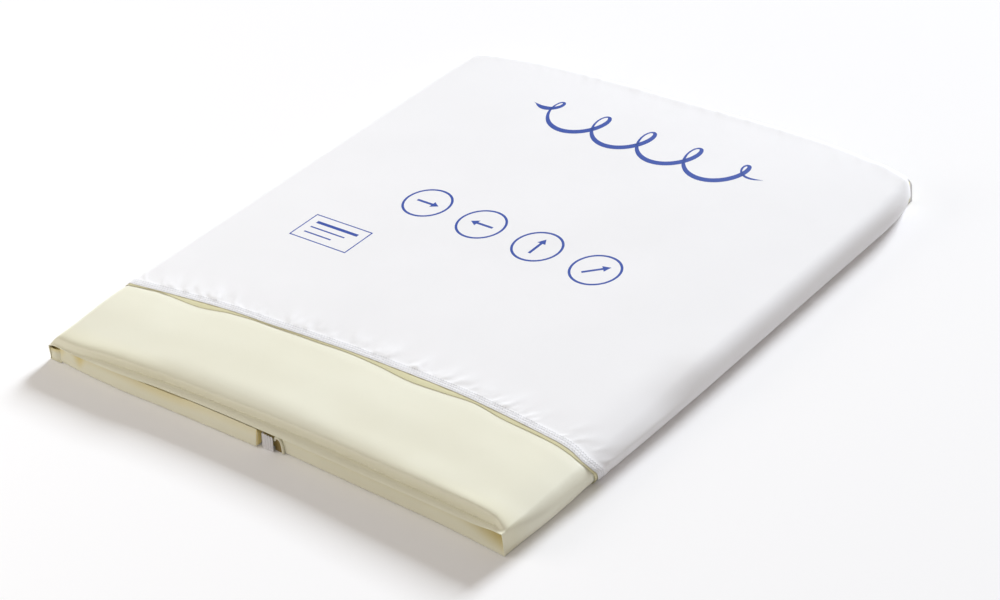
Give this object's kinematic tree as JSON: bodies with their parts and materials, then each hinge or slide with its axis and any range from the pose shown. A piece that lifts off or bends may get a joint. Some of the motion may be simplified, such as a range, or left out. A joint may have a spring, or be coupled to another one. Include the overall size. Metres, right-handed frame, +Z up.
{
  "type": "folding lateral transfer board",
  "caption": "Cloth-covered lateral transfer board, folded: a centre panel on two wings that hinge out from its long sides.",
  "frame": {"origin": "centre of the underside of the folded board, on the surface it lies on", "axes": "+X across the folded board, square to its folds; +Y along the folds, from the end where the cream cover shows to the far end; +Z up, square to the panels"},
  "size_m": [0.483, 0.559, 0.028],
  "materials": {
    "white_sleeve_cloth": "smooth close-woven white polyester, matte",
    "yellow_lining_cloth": "slippery coated nylon, soft sheen",
    "cream_cover_cloth": "slippery coated nylon, soft sheen",
    "grey_foam": "closed-cell polyethylene foam, matte",
    "white_plastic_sheet": "polypropylene sheet, fine matte grain"
  },
  "bodies": {
    "centre_panel": {"top_cover": "cream_cover_cloth", "centre_inner_cover": "cream_cover_cloth", "left_fold_cover": "cream_cover_cloth", "right_fold_cover": "cream_cover_cloth", "top_lining": "yellow_lining_cloth", "centre_inner_lining": "yellow_lining_cloth", "left_fold_lining": "yellow_lining_cloth", "right_fold_lining": "yellow_lining_cloth", "top_sleeve": "white_sleeve_cloth", "centre_inner_sleeve": "white_sleeve_cloth", "left_fold_sleeve": "white_sleeve_cloth", "right_fold_sleeve": "white_sleeve_cloth", "centre_outer_foam": "grey_foam", "centre_stiffener": "white_plastic_sheet", "centre_inner_foam": "grey_foam", "left_fold_foam": "grey_foam", "right_fold_foam": "grey_foam"},
    "left_wing": {"left_wing_cover": "cream_cover_cloth", "left_wing_lining": "yellow_lining_cloth", "left_wing_sleeve": "white_sleeve_cloth", "left_wing_outer_foam": "grey_foam", "left_wing_stiffener": "white_plastic_sheet", "left_wing_inner_foam": "grey_foam"},
    "right_wing": {"right_wing_cover": "cream_cover_cloth", "right_wing_lining": "yellow_lining_cloth", "right_wing_sleeve": "white_sleeve_cloth", "right_wing_outer_foam": "grey_foam", "right_wing_stiffener": "white_plastic_sheet", "right_wing_inner_foam": "grey_foam"}
  },
  "joints": [
    {"name": "left_fold", "type": "hinge", "parent": "centre_panel", "child": "left_wing", "pos_m": [-0.22835, 0, 0.01315], "axis": [0, 1, 0], "range_deg": [0, 180], "deforming": ["left_fold_sleeve", "left_fold_lining", "left_fold_cover", "left_fold_foam"]},
    {"name": "right_fold", "type": "hinge", "parent": "centre_panel", "child": "right_wing", "pos_m": [0.22835, 0, 0.01315], "axis": [0, -1, 0], "range_deg": [0, 180], "deforming": ["right_fold_sleeve", "right_fold_lining", "right_fold_cover", "right_fold_foam"]}
  ]
}
